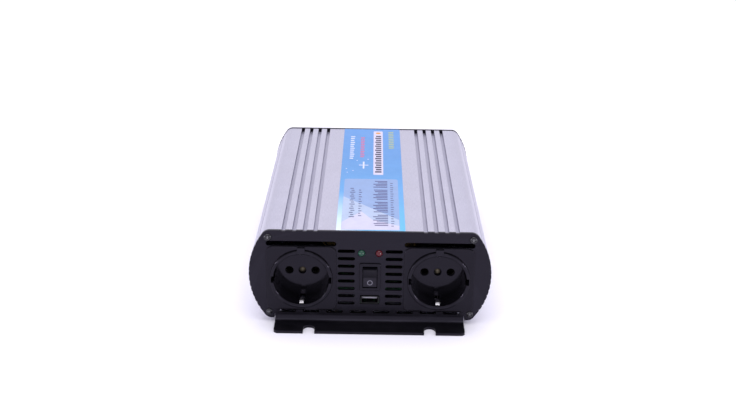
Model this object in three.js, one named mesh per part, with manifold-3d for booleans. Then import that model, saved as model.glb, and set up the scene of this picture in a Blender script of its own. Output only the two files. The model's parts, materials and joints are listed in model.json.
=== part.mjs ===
// A portable power inverter with two earthed mains sockets on its front panel, and a fan and two battery
// terminals on its rear panel. Millimetres, +Z up, front panel towards -Y.
// The origin is under the middle of the case, on the surface that its two flanges rest on.
import * as THREE from "three";
import { mergeVertices } from "three/addons/utils/BufferGeometryUtils.js";
import Module from "manifold-3d";

const wasm = await Module();
wasm.setup();

// Case
const caseLength = 230; // over both end panels
const caseHeight = 72;
const caseUnderside = 3;
const sheet = 2; // thickness of the end panels
const sideRadius = 53; // the bulging sides
const sideCentreX = 33.6;
const sideCentreZ = 38;
const cornerRadius = 7;
const footRadius = 6;
const shellInset = 0.3; // the shell lies this far inside the edge of the panels
const ribPitchAngle = 4.6; // degrees from one side groove to the next
const ribTopAngle = 30;
const ribBottomAngle = -30;
const ribWidth = 1.7;
const ribDepth = 1.1;
const topGrooves = [38.9, 46.4, 53.9, 61.4];
const topGrooveWidth = 2.8;
const topGrooveDepth = 3;
const frontNotchDepth = 0.6; // where the top grooves meet the front panel's edge
const panelScallop = 0.5; // where the side grooves meet the edge of both panels
const wall = 2.3;

// Flange along the foot of each panel
const flangeHalf = 68.2;
const flangeReach = 18;
const bendRadius = 4;
const flangeCorner = 3;
const notchX = 43.2;
const notchWidth = 8.3;
const notchDepth = 9;

// Screws
const screwX = 72.6;
const screwTopZ = 66.7;
const screwBottomZ = 8;
const screwHeadRadius = 2.7;
const lowerHeadRadius = 2.4;
const screwShankRadius = 1.5;
const screwHole = 1.8;

// Mains sockets
const socketX = 49.05;
const socketZ = 34.9;
const socketPlate = 50;
const socketPlateCorner = 5;
const socketBodyRadius = 22.4;
const socketCutout = 22.8;
const recessRadius = 19.7;
const recessDepth = 16.5; // from the front of the collar
const collarRadius = 22.5;
const collarProud = 3;
const plateProud = 1;
const pinPitch = 19;
const pinHoleRadius = 2.6;
const sleeveRadius = 3.2;
const sleeveBore = 2.5;
const strapHalfWidth = 1.5;
const strapThickness = 0.8;
const strapGroove = 1.9; // half its width

// Ventilation slots
const ventX = 16.95;
const ventLength = 12.3;
const ventHeight = 2.6;
const ventTopZ = 56.7;
const ventPitch = 5.86;
const ventCount = 8;
const footVentZ = 8.65;
const footVentLength = 12;
const footVentHeight = 2.3;
const footVentPitch = 16.9;
const longVentHalf = 25;
const longVentZ = 62.1;
const longVentHeight = 3.8;

// Switch, lamps and USB outlet in the middle of the front panel
const switchZ = 36.9;
const bezelWidth = 15;
const bezelHeight = 21.2;
const bezelProud = 1.2;
const switchOpenWidth = 10.6;
const switchOpenHeight = 16.9;
const rockerWidth = 10.2;
const rockerHalfLength = 7.5;
const rockerTilt = 10; // degrees either way from the middle
const rockerPivotY = 2.85; // behind the panel's outer face
const rockerPivotDepth = 3.5; // from the middle of the rocker's face to its pivot
const lampX = 6.2;
const lampZ = 55.3;
const lampRadius = 2.5;
const usbZ = 18.6;
const usbWidth = 12.8;
const usbHeight = 5.6;

// Fan
const fanSize = 60;
const fanDepth = 20;
const fanZ = 36.7;
const fanBore = 28.4;
const fanHoleRadius = 27.8;
const fanScrewPitch = 50;
const fanHub = 15.5;
const fanTip = 27.4;
const bladeCount = 7;
const guardRings = [8, 14, 20, 26];
const guardWire = 0.8;

// Battery terminals
const terminalX = 52;
const terminalZ = 36.7;
const studRadius = 4;
const knobRadius = 9.6;

// Inside
const boardZ = 12;
const boardThickness = 1.6;
const boardHalf = 66.5;
const transformerX = 24;
const heatBarX = 61;
const innerFace = caseLength / 2 - sheet;

const shellSilver = { color: 0xc9c6da, roughness: 0.38, metalness: 0.85 };
const panelBlack = { color: 0x1c1b21, roughness: 0.45, metalness: 0.1 };
const blackPlastic = { color: 0x16161a, roughness: 0.4, metalness: 0 };
const darkPlastic = { color: 0x202025, roughness: 0.55, metalness: 0 };
const lightPlastic = { color: 0xdad8e2, roughness: 0.45, metalness: 0 };
const redPlastic = { color: 0xb3161b, roughness: 0.4, metalness: 0 };
const steel = { color: 0x9a9aa0, roughness: 0.3, metalness: 1 };
const blackSteel = { color: 0x2b2b2f, roughness: 0.35, metalness: 0.9 };
const brass = { color: 0xc2a25a, roughness: 0.3, metalness: 1 };
const aluminium = { color: 0xb8b8bd, roughness: 0.45, metalness: 0.9 };
const circuitGreen = { color: 0x1f5a34, roughness: 0.5, metalness: 0 };
const ferrite = { color: 0x3b3a3d, roughness: 0.7, metalness: 0.1 };
const tape = { color: 0xd8b23a, roughness: 0.5, metalness: 0 };
const sleeveBlack = { color: 0x1a1b26, roughness: 0.35, metalness: 0 };
const paper = { color: 0xbfd8f4, roughness: 0.35, metalness: 0 };
const greenLens = { color: 0x1f6b45, roughness: 0.15, metalness: 0 };
const redLens = { color: 0x8c1226, roughness: 0.15, metalness: 0 };

// A closed geometry as a solid that can be joined and cut.
function solid(geometry) {
  const bare = geometry.clone();
  bare.deleteAttribute("normal");
  bare.deleteAttribute("uv");
  const merged = mergeVertices(bare, 1e-4);
  return new wasm.Manifold(
    new wasm.Mesh({
      numProp: 3,
      vertProperties: new Float32Array(merged.attributes.position.array),
      triVerts: new Uint32Array(merged.index.array),
    }),
  );
}

// The solid as a geometry again.
function geometryOf(body) {
  const mesh = body.getMesh();
  const geometry = new THREE.BufferGeometry();
  geometry.setAttribute("position", new THREE.BufferAttribute(mesh.vertProperties, 3));
  geometry.setIndex(new THREE.BufferAttribute(mesh.triVerts, 1));
  geometry.computeVertexNormals();
  return geometry;
}

const join = (...bodies) => bodies.reduce((whole, body) => whole.add(body));
const cut = (body, ...tools) => tools.reduce((rest, tool) => rest.subtract(tool), body);

function box(x0, x1, y0, y1, z0, z1) {
  const geometry = new THREE.BoxGeometry(x1 - x0, y1 - y0, z1 - z0);
  return solid(geometry.translate((x0 + x1) / 2, (y0 + y1) / 2, (z0 + z1) / 2));
}

// A cylinder along Y.
function rod(radius, x, z, y0, y1, sides = 16) {
  const geometry = new THREE.CylinderGeometry(radius, radius, y1 - y0, sides);
  return solid(geometry.translate(x, (y0 + y1) / 2, z));
}

// A solid of revolution about Y: the profile's points are [radius, y], from the low end to the high end.
function turned(profile, sides = 16) {
  const points = profile.map(([radius, y]) => new THREE.Vector2(radius, y));
  return solid(new THREE.LatheGeometry(points, sides));
}

// An outline in X and Z, extruded along Y from y0 to y1.
function plate(shape, y0, y1, curveSegments = 6) {
  const geometry = new THREE.ExtrudeGeometry(shape, {
    depth: y1 - y0,
    bevelEnabled: false,
    curveSegments,
  });
  return solid(geometry.rotateX(Math.PI / 2).translate(0, y1, 0));
}

// An outline in Y and Z, extruded along X from x0 to x1.
function prism(shape, x0, x1, curveSegments = 6) {
  const geometry = new THREE.ExtrudeGeometry(shape, {
    depth: x1 - x0,
    bevelEnabled: false,
    curveSegments,
  });
  geometry.rotateZ(Math.PI / 2).rotateY(Math.PI / 2);
  return solid(geometry.translate(x0, 0, 0));
}

// An outline in X and Y, extruded upwards from z0 to z1.
function slab(shape, z0, z1, curveSegments = 6) {
  const geometry = new THREE.ExtrudeGeometry(shape, {
    depth: z1 - z0,
    bevelEnabled: false,
    curveSegments,
  });
  return solid(geometry.translate(0, 0, z0));
}

function polygon(points) {
  return new THREE.Shape(points.map(([u, v]) => new THREE.Vector2(u, v)));
}

function roundedRectangle(centreU, centreV, width, height, radius) {
  const shape = new THREE.Shape();
  const left = centreU - width / 2;
  const right = centreU + width / 2;
  const low = centreV - height / 2;
  const high = centreV + height / 2;
  shape.moveTo(left + radius, low);
  shape.lineTo(right - radius, low);
  shape.absarc(right - radius, low + radius, radius, -Math.PI / 2, 0);
  shape.lineTo(right, high - radius);
  shape.absarc(right - radius, high - radius, radius, 0, Math.PI / 2);
  shape.lineTo(left + radius, high);
  shape.absarc(left + radius, high - radius, radius, Math.PI / 2, Math.PI);
  shape.lineTo(left, low + radius);
  shape.absarc(left + radius, low + radius, radius, Math.PI, Math.PI * 1.5);
  return shape;
}

// A strip of constant thickness along a path in Y and Z, as an outline.
function strip(path, thickness) {
  const half = thickness / 2;
  const points = path.map(([u, v]) => new THREE.Vector2(u, v));
  const side = points.map((point, i) => {
    const before = points[Math.max(i - 1, 0)];
    const after = points[Math.min(i + 1, points.length - 1)];
    const into = point.clone().sub(before).normalize();
    const out = after.clone().sub(point).normalize();
    if (i === 0) into.copy(out);
    if (i === points.length - 1) out.copy(into);
    const along = into.clone().add(out).normalize();
    const normal = new THREE.Vector2(-along.y, along.x);
    return normal.multiplyScalar(half / along.dot(out));
  });
  const left = points.map((point, i) => point.clone().add(side[i]));
  const right = points.map((point, i) => point.clone().sub(side[i]));
  return new THREE.Shape([...right, ...left.reverse()]);
}

function mesh(name, body, look) {
  const geometry = body instanceof THREE.BufferGeometry ? body : geometryOf(body);
  const made = new THREE.Mesh(geometry, new THREE.MeshStandardMaterial(look));
  made.name = name;
  return made;
}

const radians = (degrees) => THREE.MathUtils.degToRad(degrees);

// The right-hand half of the case's outline from foot to top, as points. Grooves of the given depths run
// down the side and along the top.
function halfOutline(inset, sideDepth, topDepth) {
  const points = [];
  const radius = sideRadius - inset;
  const at = (angle, r) => [
    sideCentreX + r * Math.cos(radians(angle)),
    sideCentreZ + r * Math.sin(radians(angle)),
  ];
  const footZ = caseUnderside + footRadius;
  const footX = sideCentreX + Math.sqrt((sideRadius - footRadius) ** 2 - (sideCentreZ - footZ) ** 2);
  const footAngle = THREE.MathUtils.radToDeg(Math.atan2(footZ - sideCentreZ, footX - sideCentreX));
  const topZ = caseHeight - cornerRadius;
  const topX = sideCentreX + Math.sqrt((sideRadius - cornerRadius) ** 2 - (topZ - sideCentreZ) ** 2);
  const topAngle = THREE.MathUtils.radToDeg(Math.atan2(topZ - sideCentreZ, topX - sideCentreX));
  const around = (x, z, r, from, to, steps) => {
    for (let i = 0; i <= steps; i++) {
      const angle = radians(from + ((to - from) * i) / steps);
      points.push([x + r * Math.cos(angle), z + r * Math.sin(angle)]);
    }
  };
  around(footX, footZ, footRadius - inset, -90, footAngle, 4);
  const halfGroove = THREE.MathUtils.radToDeg(ribWidth / 2 / sideRadius);
  for (let angle = ribBottomAngle; angle <= ribTopAngle; angle += ribPitchAngle) {
    points.push(at(angle - halfGroove, radius));
    if (sideDepth > 0.5) {
      points.push(at(angle - halfGroove * 0.6, radius - sideDepth));
      points.push(at(angle + halfGroove * 0.6, radius - sideDepth));
    } else {
      points.push(at(angle, radius - sideDepth));
    }
    points.push(at(angle + halfGroove, radius));
  }
  around(topX, topZ, cornerRadius - inset, topAngle, 90, 5);
  if (topDepth) {
    for (const x of [...topGrooves].reverse()) {
      const high = caseHeight - inset;
      const half = topGrooveWidth / 2;
      points.push([x + half, high], [x + half, high - topDepth]);
      points.push([x - half, high - topDepth], [x - half, high]);
    }
  }
  return points;
}

const mirrored = (points) => points.map(([x, z]) => [-x, z]).reverse();

// One end panel in its own frame: outer face at y = 0, flange reaching towards -Y.
function endPanel(sideDepth, topDepth, openings) {
  const half = halfOutline(0, sideDepth, topDepth);
  const face = plate(polygon([...half, ...mirrored(half)]), 0, sheet);
  const relief = bendRadius + sheet;
  const flat = cut(face, box(-flangeHalf - 0.6, flangeHalf + 0.6, -1, sheet + 1, 0, relief));
  const bend = new THREE.Shape();
  bend.moveTo(0, relief + 1);
  bend.lineTo(0, relief);
  bend.absarc(-bendRadius, relief, bendRadius, 0, -Math.PI / 2, true);
  bend.lineTo(-flangeReach, sheet);
  bend.lineTo(-flangeReach, 0);
  bend.lineTo(-bendRadius, 0);
  bend.absarc(-bendRadius, relief, bendRadius + sheet, -Math.PI / 2, 0);
  bend.lineTo(sheet, relief + 1);
  const depth = flangeReach + 20;
  const trimmed = slab(
    roundedRectangle(0, -flangeReach + depth / 2, flangeHalf * 2, depth, flangeCorner),
    -1,
    relief + 2,
  );
  const notches = [-notchX, notchX].map((x) =>
    slab(roundedRectangle(x, -flangeReach - 2, notchWidth, 2 * notchDepth + 4, notchWidth / 2 - 0.01), -1, 3),
  );
  const flange = cut(prism(bend, -flangeHalf, flangeHalf, 4).intersect(trimmed), ...notches);
  const holes = [-screwX, screwX].flatMap((x) =>
    [screwBottomZ, screwTopZ].map((z) => rod(screwHole, x, z, -1, sheet + 1, 8)),
  );
  return cut(join(flat, flange), ...holes, ...openings);
}

// A slot with round ends through a panel.
function slot(x, z, length, height) {
  return plate(roundedRectangle(x, z, length, height, height / 2 - 0.01), -1, sheet + 1, 1);
}

function frontOpenings() {
  const made = [];
  for (const side of [-1, 1]) {
    made.push(rod(socketCutout, side * socketX, socketZ, -1, sheet + 1, 32));
    made.push(slot(side * socketX, longVentZ, longVentHalf * 2, longVentHeight));
    for (let row = 0; row < ventCount; row++) {
      made.push(slot(side * ventX, ventTopZ - row * ventPitch, ventLength, ventHeight));
    }
    for (let column = 0; column < 4; column++) {
      const x = side * footVentPitch * (column + 0.5);
      made.push(slot(x, footVentZ, footVentLength, footVentHeight));
    }
    made.push(rod(lampRadius + 0.2, side * lampX, lampZ, -1, 3, 16));
  }
  made.push(plate(roundedRectangle(0, switchZ, 13.2, 19.2, 0.5), -1, 3, 1));
  made.push(plate(roundedRectangle(0, usbZ, usbWidth + 1.2, usbHeight + 1.7, 1), -1, 3, 2));
  return made;
}

function rearOpenings() {
  const made = [rod(fanHoleRadius, 0, fanZ, -1, 3, 36)];
  for (const side of [-1, 1]) {
    made.push(rod(7, side * terminalX, terminalZ, -1, 3, 20));
    for (const level of [-1, 1]) {
      made.push(rod(2.1, (side * fanScrewPitch) / 2, fanZ + (level * fanScrewPitch) / 2, -1, 3, 8));
    }
  }
  return made;
}

// The extruded shell: sides and top in one piece, with screw channels in its corners, a slot for the base
// plate and a slot for the circuit board along each side.
function topShell() {
  const outer = halfOutline(shellInset, ribDepth, topGrooveDepth);
  const lipX = 66;
  const railX = 64;
  const inner = [
    [lipX, caseUnderside + shellInset],
    [lipX, 4.2],
    [68.3, 4.2],
    [68.3, 6.4],
    [railX, 6.4],
    [railX, boardZ - 0.3],
    [66.9, boardZ - 0.3],
    [66.9, boardZ + boardThickness + 0.3],
    [railX, boardZ + boardThickness + 0.3],
    [railX, 15.6],
  ];
  const innerRadius = sideRadius - shellInset - ribDepth - wall;
  const fromAngle = Math.asin((15.6 - sideCentreZ) / innerRadius);
  const toAngle = Math.asin((63.2 - sideCentreZ) / innerRadius);
  const steps = 12;
  for (let i = 0; i <= steps; i++) {
    const angle = fromAngle + ((toAngle - fromAngle) * i) / steps;
    inner.push([sideCentreX + innerRadius * Math.cos(angle), sideCentreZ + innerRadius * Math.sin(angle)]);
  }
  const underGrooves = caseHeight - shellInset - topGrooveDepth - 1.8;
  const ceiling = caseHeight - shellInset - wall;
  const grooveEdge = topGrooves[0] - 4;
  inner.push([70.2, 63.2], [69.2, 64.4], [69.2, underGrooves]);
  inner.push([grooveEdge, underGrooves], [grooveEdge - 1, ceiling]);
  const outline = [...outer, ...mirrored(outer), ...mirrored(inner).reverse(), ...inner.slice().reverse()];
  const channels = [-screwX, screwX].flatMap((x) =>
    [screwBottomZ, screwTopZ].map((z) => rod(screwHole, x, z, -innerFace - 1, innerFace + 1, 8)),
  );
  return cut(plate(polygon(outline), -innerFace, innerFace), ...channels);
}

function basePlate() {
  const low = caseUnderside + shellInset;
  const tongue = [
    [-65.7, low],
    [65.7, low],
    [65.7, 4.45],
    [68, 4.45],
    [68, 6.15],
    [-68, 6.15],
    [-68, 4.45],
    [-65.7, 4.45],
  ];
  return plate(polygon(tongue), -innerFace, innerFace);
}

// A pan-head screw with a cross recess: head in front of y = 0, shank behind it.
function screw(length, headRadius = screwHeadRadius, shankRadius = screwShankRadius) {
  const headHeight = headRadius * 0.6;
  const body = turned(
    [
      [0, -headHeight],
      [headRadius * 0.62, -headHeight],
      [headRadius, -headHeight * 0.4],
      [headRadius, 0],
      [shankRadius, 0],
      [shankRadius, length],
      [0, length],
    ],
    8,
  );
  const arm = headRadius * 0.55;
  const width = headRadius * 0.14;
  const floor = -headHeight * 0.35;
  return cut(
    body,
    box(-arm, arm, -headHeight - 1, floor, -width, width),
    box(-width, width, -headHeight - 1, floor, -arm, arm),
  );
}

function placed(made, x, y, z) {
  made.position.set(x, y, z);
  return made;
}

// Socket moulding about its own centre: plate, collar, key lug, recess and contact chambers.
function socketMoulding() {
  const floorY = recessDepth - collarProud;
  const backY = floorY + 9.5;
  const half = socketPlate / 2;
  const collar = rod(collarRadius, 0, 0, -collarProud, 1, 32);
  const outline = roundedRectangle(0, 0, socketPlate, socketPlate, socketPlateCorner);
  const front = plate(outline, -plateProud, 0, 3);
  const behind = rod(socketBodyRadius, 0, 0, -0.5, backY, 32);
  const lug = box(-2.8, 2.8, -collarProud, 0, recessRadius + 0.6, half);
  const recess = rod(recessRadius, 0, 0, -collarProud - 1, floorY, 32);
  const chambers = [-1, 1].flatMap((side) => [
    rod(pinHoleRadius, (side * pinPitch) / 2, 0, 0, backY, 12),
    rod(sleeveRadius + 0.3, (side * pinPitch) / 2, 0, floorY + 1.5, backY + 1, 12),
    box(side < 0 ? -21.6 : 15, side < 0 ? -15 : 21.6, -collarProud - 1, floorY, -2.5, 2.5),
    box(-strapGroove, strapGroove, -1.9, backY + 1, side < 0 ? -21.4 : 15, side < 0 ? -15 : 21.4),
  ]);
  const screwSeat = rod(2.9, 0, 0, 0, floorY + 2.4, 12);
  const screwBore = rod(screwHole, 0, 0, 0, backY + 1, 8);
  return cut(join(front, behind, collar, lug), recess, ...chambers, screwSeat, screwBore);
}

function earthStrap() {
  const bump = 17.6;
  const track = 20.7;
  const lip = 19.6;
  const back = recessDepth - collarProud + 9.5 + 0.9;
  const path = [
    [-1, -lip],
    [2.2, -bump],
    [5.4, -track],
    [back, -track],
    [back, track],
    [5.4, track],
    [2.2, bump],
    [-1, lip],
  ];
  return prism(strip(path, strapThickness), -strapHalfWidth, strapHalfWidth);
}

function contactSleeve() {
  const front = recessDepth - collarProud + 1.8;
  return turned(
    [
      [sleeveBore, front],
      [sleeveRadius, front],
      [sleeveRadius, front + 8.8],
      [1.5, front + 8.8],
      [1.5, front + 12],
      [0, front + 12],
      [0, front + 7.6],
      [sleeveBore, front + 7.6],
      [sleeveBore, front],
    ],
    12,
  );
}

function mainsSocket(name) {
  const group = new THREE.Group();
  group.add(mesh(name + "_socket", socketMoulding(), blackPlastic));
  group.add(mesh(name + "_earth_strap", earthStrap(), steel));
  const seat = recessDepth - collarProud + 2.4;
  group.add(placed(mesh(name + "_socket_screw", screw(6, 2.4), brass), 0, seat, 0));
  group.add(placed(mesh(name + "_live_sleeve", contactSleeve(), brass), -pinPitch / 2, 0, 0));
  group.add(placed(mesh(name + "_neutral_sleeve", contactSleeve(), brass), pinPitch / 2, 0, 0));
  return group;
}

// A lamp about its own axis: lens in front of the panel, collar behind it, and two legs.
function lamp() {
  const lens = turned(
    [
      [0, -1.9],
      [1.2, -1.65],
      [2.1, -0.9],
      [lampRadius, 0.2],
      [lampRadius, sheet + 0.1],
      [lampRadius + 0.5, sheet + 0.1],
      [lampRadius + 0.5, sheet + 1.2],
      [0, sheet + 1.2],
    ],
    14,
  );
  const legs = [-1.27, 1.27].map((x) => box(x - 0.25, x + 0.25, sheet + 1, sheet + 13, -0.25, 0.25));
  return join(lens, ...legs);
}

function switchHousing() {
  const bezel = plate(roundedRectangle(0, 0, bezelWidth, bezelHeight, 1), -bezelProud, 0, 2);
  const body = plate(roundedRectangle(0, 0, 12.6, 18.6, 0.4), -0.5, 15, 1);
  const tabs = [-5.5, 0, 5.5].map((z) => box(-2.4, 2.4, 14.5, 20, z - 0.4, z + 0.4));
  const mouth = plate(roundedRectangle(0, 0, switchOpenWidth, switchOpenHeight, 0.4), -3, 9.5, 1);
  const bearings = new THREE.CylinderGeometry(1.6, 1.6, 14, 16).rotateZ(Math.PI / 2);
  return cut(join(bezel, body, ...tabs), mouth, solid(bearings.translate(0, rockerPivotY, 0)));
}

// The rocker about its pivot, upright: a shallow V for a face, a rounded back and a pin at each side.
function rockerBody() {
  const slope = radians(rockerTilt);
  const endY = -rockerPivotDepth - rockerHalfLength * Math.sin(slope);
  const endZ = rockerHalfLength * Math.cos(slope);
  const outline = [
    [-rockerPivotDepth, 0],
    [endY, -endZ],
    [-0.8, -endZ],
    [2.2, -4.2],
    [3, 0],
    [2.2, 4.2],
    [-0.8, endZ],
    [endY, endZ],
  ];
  const pin = new THREE.CylinderGeometry(1.2, 1.2, 12.2, 16).rotateZ(Math.PI / 2);
  return join(prism(polygon(outline.reverse()), -rockerWidth / 2, rockerWidth / 2), solid(pin));
}

// USB receptacle about the middle of its mouth: a folded steel shell and the tongue inside it.
function usbShell() {
  const outside = plate(roundedRectangle(0, 0, usbWidth, usbHeight, 0.8), -0.3, 13.5, 2);
  const inside = plate(roundedRectangle(0, 0, usbWidth - 0.8, usbHeight - 0.8, 0.5), -2, 12.5, 2);
  return cut(outside, inside);
}

function usbTongue() {
  return box(-5.4, 5.4, 1.2, 12.2, 0.5, 2.1);
}

// Axial fan about the middle of its face on the panel: open square frame with a motor mount at the back.
function fanFrame() {
  const body = plate(roundedRectangle(0, 0, fanSize, fanSize, 4), 0, fanDepth, 2);
  const bore = rod(fanBore, 0, 0, -1, fanDepth + 1, 36);
  const mount = rod(fanHub - 1, 0, 0, fanDepth - 3, fanDepth, 24);
  const pin = rod(2.5, 0, 0, fanDepth - 12, fanDepth, 12);
  const struts = [45, 135].map((angle) => {
    const bar = new THREE.BoxGeometry(fanBore * 2 + 2, 2.4, 3);
    bar.rotateX(Math.PI / 2).rotateY(radians(angle));
    return solid(bar.translate(0, fanDepth - 1.5, 0));
  });
  const holes = [-1, 1].flatMap((side) =>
    [-1, 1].map((level) => rod(2.1, (side * fanScrewPitch) / 2, (level * fanScrewPitch) / 2, -1, fanDepth + 1, 8)),
  );
  return cut(join(cut(body, bore), mount, pin, ...struts), ...holes);
}

function fanRotor() {
  const hub = cut(rod(fanHub, 0, 0, 1.2, fanDepth - 3.6, 24), rod(2.9, 0, 0, fanDepth - 13, fanDepth, 12));
  const blades = [];
  for (let i = 0; i < bladeCount; i++) {
    const blade = new THREE.BoxGeometry(fanTip - fanHub + 2.5, 16, 1.3);
    blade.rotateX(radians(38)).translate((fanTip + fanHub - 2.5) / 2, (fanDepth - 2.2) / 2, 0);
    blades.push(solid(blade.rotateY((i * 2 * Math.PI) / bladeCount)));
  }
  const sweep = rod(fanTip, 0, 0, 1.4, fanDepth - 3.8, 36);
  return join(hub, join(...blades).intersect(sweep));
}

// Finger guard in front of the fan: rings of wire on two crossed bars, with a flat eye at each end.
function fanGuard() {
  const ringY = -2 * guardWire - 0.9;
  const rings = guardRings.map((radius) => {
    const points = [];
    for (let i = 0; i <= 4; i++) {
      const angle = (i * Math.PI) / 2;
      points.push([radius + guardWire * Math.cos(angle), ringY + guardWire * Math.sin(angle)]);
    }
    return turned(points, 18);
  });
  const reach = (fanScrewPitch / 2) * Math.SQRT2;
  const bars = [45, 135].map((angle) => {
    const bar = new THREE.CylinderGeometry(guardWire, guardWire, 2 * reach - 6.4, 6).rotateZ(Math.PI / 2);
    bar.rotateY(radians(angle));
    return solid(bar.translate(0, -guardWire - 0.3, 0));
  });
  const eyes = [45, 135, 225, 315].map((angle) => {
    const x = reach * Math.cos(radians(angle));
    const z = reach * Math.sin(radians(angle));
    return cut(rod(3.6, x, z, -1.3, -0.3, 10), rod(2.1, x, z, -2, 1, 8));
  });
  return join(...rings, ...bars, ...eyes);
}

// Battery terminal about its axis on the panel's outer face: insulator, stud, washer and clamping knob.
function terminalInsulator() {
  return cut(
    turned(
      [
        [0, -3.5],
        [10.2, -3.5],
        [11, -2.7],
        [11, 0],
        [6.7, 0],
        [6.7, sheet + 2.5],
        [0, sheet + 2.5],
      ],
      20,
    ),
    rod(studRadius + 0.3, 0, 0, -5, 10, 12),
  );
}

function terminalStud() {
  return turned(
    [
      [0, -14.6],
      [studRadius - 0.8, -14.6],
      [studRadius, -13.8],
      [studRadius, sheet + 2.8],
      [7, sheet + 2.8],
      [7, sheet + 8],
      [studRadius, sheet + 8],
      [studRadius, 17],
      [0, 17],
    ],
    12,
  );
}

function terminalWasher() {
  return turned(
    [
      [studRadius + 0.4, -1.2],
      [8, -1.2],
      [8, 0],
      [studRadius + 0.4, 0],
      [studRadius + 0.4, -1.2],
    ],
    20,
  );
}

// The knob's low end, where it presses on the washer, is at y = 0, and it reaches towards -Y.
function terminalKnob() {
  const outline = [];
  const flutes = 10;
  const steps = 40;
  for (let i = 0; i < steps; i++) {
    const angle = (i * 2 * Math.PI) / steps;
    const radius = knobRadius - 0.6 + 0.6 * Math.cos(flutes * angle);
    outline.push([radius * Math.cos(angle), radius * Math.sin(angle)]);
  }
  const grip = plate(polygon(outline), -11, -2.5);
  const skirt = rod(8.6, 0, 0, -3, 0, 20);
  const cap = turned(
    [
      [0, -12],
      [6.6, -12],
      [7.6, -11],
      [7.6, -10],
      [0, -10],
    ],
    20,
  );
  return cut(join(grip, skirt, cap), rod(studRadius + 0.5, 0, 0, -10.6, 1, 12));
}

// A ferrite core with two windows, standing on the board, and the winding on its middle limb.
function transformerCore() {
  const block = box(-22, 22, -7.5, 7.5, 0, 38);
  return cut(block, box(-15, -7, -9, 9, 6, 32), box(7, 15, -9, 9, 6, 32));
}

function transformerCoil() {
  const outside = slab(roundedRectangle(0, 0, 29.2, 36, 5), 6.3, 31.7, 3);
  return cut(outside, box(-7.3, 7.3, -7.8, 7.8, 5, 33));
}

// Four power transistors pressed on a heat bar's inner face, at x = 0, by the clamp strip across them.
function transistorStrip(side) {
  const outwards = (from, to) => (side < 0 ? [-to, -from] : [from, to]);
  const clamp = box(...outwards(-6.2, -4), -46, 46, 12, 16);
  const parts = [-36, -12, 12, 36].map((y) => box(...outwards(-4.4, 0), y - 5, y + 5, 4, 20));
  return join(clamp, ...parts);
}

function capacitor() {
  const axisAlongY = turned(
    [
      [0, 0],
      [10.4, 0],
      [11, 0.8],
      [11, 33.6],
      [10.2, 34.4],
      [0, 34.4],
    ],
    24,
  );
  return axisAlongY.rotate([90, 0, 0]);
}

// An insulated lead along a smooth curve through its points.
function lead(points, radius) {
  const section = new THREE.Shape();
  section.absarc(0, 0, radius, 0, 2 * Math.PI);
  const extrudePath = new THREE.CatmullRomCurve3(points.map((point) => new THREE.Vector3(...point)));
  return solid(new THREE.ExtrudeGeometry(section, { extrudePath, steps: 9, curveSegments: 4 }));
}

const cornerScrewLevels = [
  ["lower", screwBottomZ, lowerHeadRadius],
  ["upper", screwTopZ, screwHeadRadius],
];

function frontEnd() {
  const group = new THREE.Group();
  group.position.y = -caseLength / 2;
  group.add(mesh("front_panel", endPanel(panelScallop, frontNotchDepth, frontOpenings()), panelBlack));
  group.add(placed(mainsSocket("left"), -socketX, 0, socketZ));
  group.add(placed(mainsSocket("right"), socketX, 0, socketZ));
  group.add(placed(mesh("green_lamp", lamp(), greenLens), -lampX, 0, lampZ));
  group.add(placed(mesh("red_lamp", lamp(), redLens), lampX, 0, lampZ));
  group.add(placed(mesh("switch_housing", switchHousing(), blackPlastic), 0, 0, switchZ));
  const rocker = placed(mesh("rocker", rockerBody(), darkPlastic), 0, rockerPivotY, switchZ);
  rocker.rotation.x = radians(rockerTilt);
  group.add(rocker);
  group.add(placed(mesh("usb_shell", usbShell(), steel), 0, 0, usbZ));
  group.add(placed(mesh("usb_tongue", usbTongue(), lightPlastic), 0, 0, usbZ));
  group.add(mesh("usb_board", box(-9, 9, 2.6, 20, 13.9, 15.5), circuitGreen));
  for (const [level, z, head] of cornerScrewLevels) {
    for (const [side, x] of [["left", -screwX], ["right", screwX]]) {
      group.add(placed(mesh(`front_screw_${level}_${side}`, screw(9, head), blackSteel), x, 0, z));
    }
  }
  return group;
}

function terminal(name, plastic) {
  const group = new THREE.Group();
  group.add(mesh(name + "_insulator", terminalInsulator(), plastic));
  group.add(mesh(name + "_stud", terminalStud(), brass));
  group.add(placed(mesh(name + "_washer", terminalWasher(), steel), 0, -3.5, 0));
  group.add(placed(mesh(name + "_knob", terminalKnob(), plastic), 0, -4.7, 0));
  return group;
}

// The rear end is turned to face +Y, so its own +X is the case's -X.
function rearEnd() {
  const group = new THREE.Group();
  group.position.y = caseLength / 2;
  group.rotation.z = Math.PI;
  group.add(mesh("rear_panel", endPanel(panelScallop, 0, rearOpenings()), panelBlack));
  group.add(placed(mesh("fan_frame", fanFrame(), blackPlastic), 0, sheet, fanZ));
  group.add(placed(mesh("fan_rotor", fanRotor(), darkPlastic), 0, sheet, fanZ));
  group.add(placed(mesh("fan_guard", fanGuard(), steel), 0, 0, fanZ));
  group.add(placed(terminal("red", redPlastic), -terminalX, 0, terminalZ));
  group.add(placed(terminal("black", blackPlastic), terminalX, 0, terminalZ));
  for (const [level, z, head] of cornerScrewLevels) {
    const fanScrewZ = fanZ + ((level === "upper" ? 1 : -1) * fanScrewPitch) / 2;
    for (const [side, x] of [["left", 1], ["right", -1]]) {
      const corner = mesh(`rear_screw_${level}_${side}`, screw(9, head), blackSteel);
      group.add(placed(corner, x * screwX, 0, z));
      const fanScrew = mesh(`fan_screw_${level}_${side}`, screw(18, 3, 1.7), steel);
      group.add(placed(fanScrew, (x * fanScrewPitch) / 2, -1.3, fanScrewZ));
    }
  }
  return group;
}

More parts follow.
